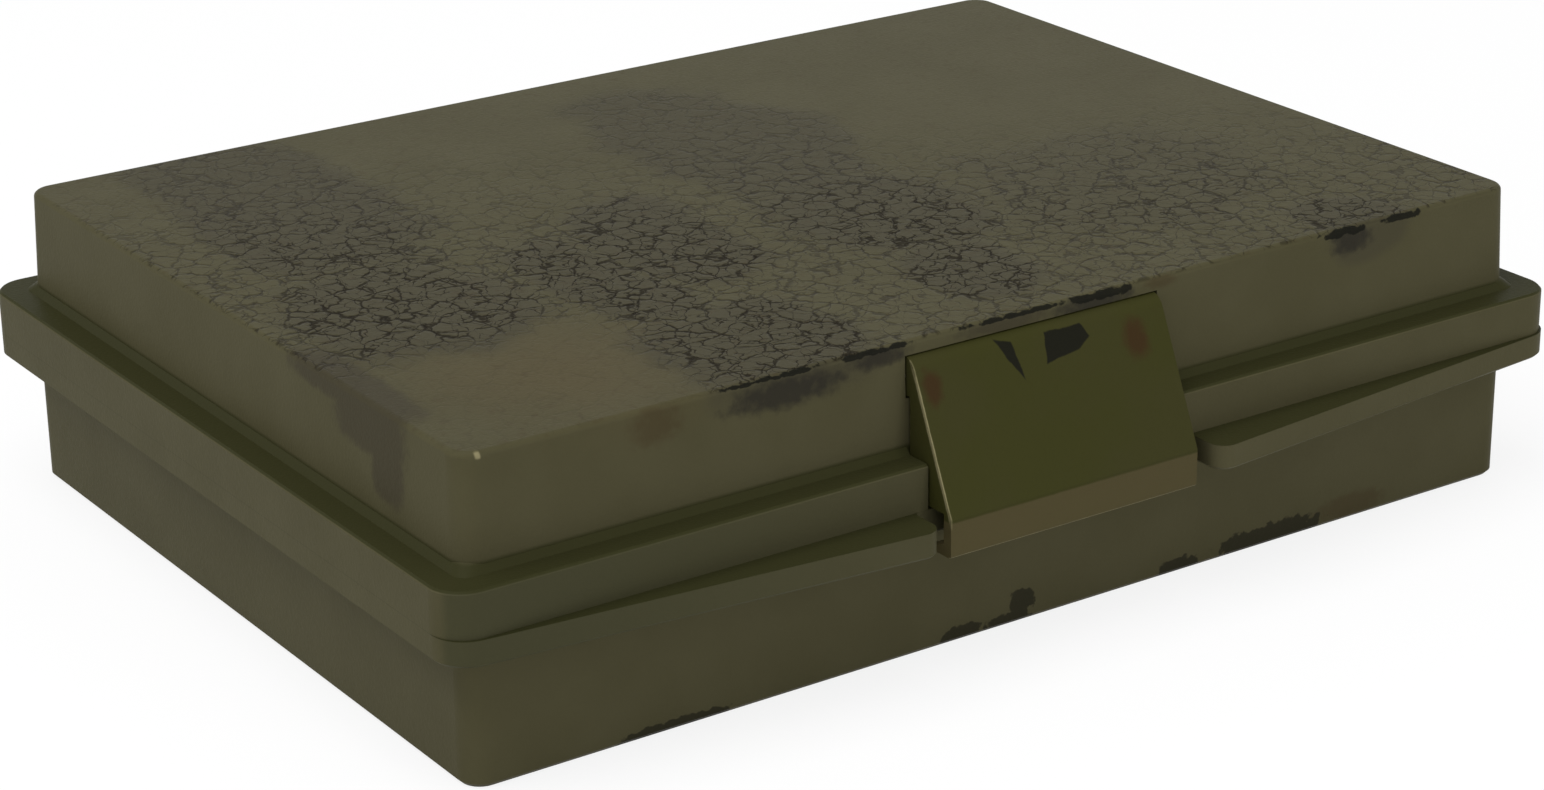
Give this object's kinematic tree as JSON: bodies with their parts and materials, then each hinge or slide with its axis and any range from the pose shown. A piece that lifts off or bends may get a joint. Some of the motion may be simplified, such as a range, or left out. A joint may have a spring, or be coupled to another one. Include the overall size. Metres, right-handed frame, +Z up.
{
  "type": "fleet guessing game case",
  "caption": "Hinged moulded case with a front latch, holding pegged boards, toy ships and a box of marker pegs for a two-player fleet guessing game.",
  "frame": {"origin": "centre of the tray's flat underside, on the surface that the case stands on", "axes": "+X to the right along the front, the latch faces -Y, +Z up"},
  "size_m": [0.2332, 0.1879, 0.0564],
  "materials": {
    "case_plastic": "satin moulded olive drab",
    "pin_steel": "plain drawn steel wire",
    "screw_steel": "zinc-plated steel",
    "board_plastic": "moulded deep sea blue",
    "box_plastic": "moulded charcoal",
    "door_plastic": "smooth moulded charcoal",
    "red_plastic": "glossy moulded red",
    "white_plastic": "glossy moulded white",
    "ship_plastic": "satin moulded ship grey"
  },
  "bodies": {
    "tray": {"base_shell": "case_plastic", "hinge_pin_left": "pin_steel", "hinge_pin_right": "pin_steel", "fleet_board": "board_plastic", "fleet_board_screws": "screw_steel", "peg_box": "box_plastic", "red_pegs": "red_plastic", "white_pegs": "white_plastic"},
    "lid": {"lid_shell": "case_plastic", "target_board": "board_plastic", "target_board_screws": "screw_steel", "latch_pin": "pin_steel", "hit_markers": "red_plastic", "miss_markers": "white_plastic"},
    "latch": {"front_latch": "case_plastic"},
    "red_door": {"red_peg_door": "door_plastic"},
    "white_door": {"white_peg_door": "door_plastic"},
    "carrier_piece": {"carrier": "ship_plastic"},
    "heavy_cruiser_piece": {"heavy_cruiser": "ship_plastic"},
    "light_cruiser_piece": {"light_cruiser": "ship_plastic"},
    "submarine_piece": {"submarine": "ship_plastic"},
    "patrol_boat_piece": {"patrol_boat": "ship_plastic"}
  },
  "joints": [
    {"name": "lid_hinge", "type": "hinge", "parent": "tray", "child": "lid", "pos_m": [0, 0.0899, 0.029], "axis": [-1, 0, 0], "range_deg": [0, 105]},
    {"name": "latch_swing", "type": "hinge", "parent": "lid", "child": "latch", "pos_m": [0, -0.07839, 0.0502], "axis": [-1, 0, 0], "range_deg": [0, 60]},
    {"name": "red_door_slide", "type": "slide", "parent": "tray", "child": "red_door", "axis": [0, 1, 0], "range_m": [0, 0.074]},
    {"name": "white_door_slide", "type": "slide", "parent": "tray", "child": "white_door", "axis": [0, -1, 0], "range_m": [0, 0.074]},
    {"name": "carrier_lift", "type": "slide", "parent": "tray", "child": "carrier_piece", "axis": [0, 0, 1], "range_m": [0, 0.008]},
    {"name": "heavy_cruiser_lift", "type": "slide", "parent": "tray", "child": "heavy_cruiser_piece", "axis": [0, 0, 1], "range_m": [0, 0.008]},
    {"name": "light_cruiser_lift", "type": "slide", "parent": "tray", "child": "light_cruiser_piece", "axis": [0, 0, 1], "range_m": [0, 0.008]},
    {"name": "submarine_lift", "type": "slide", "parent": "tray", "child": "submarine_piece", "axis": [0, 0, 1], "range_m": [0, 0.008]},
    {"name": "patrol_boat_lift", "type": "slide", "parent": "tray", "child": "patrol_boat_piece", "axis": [0, 0, 1], "range_m": [0, 0.008]}
  ]
}
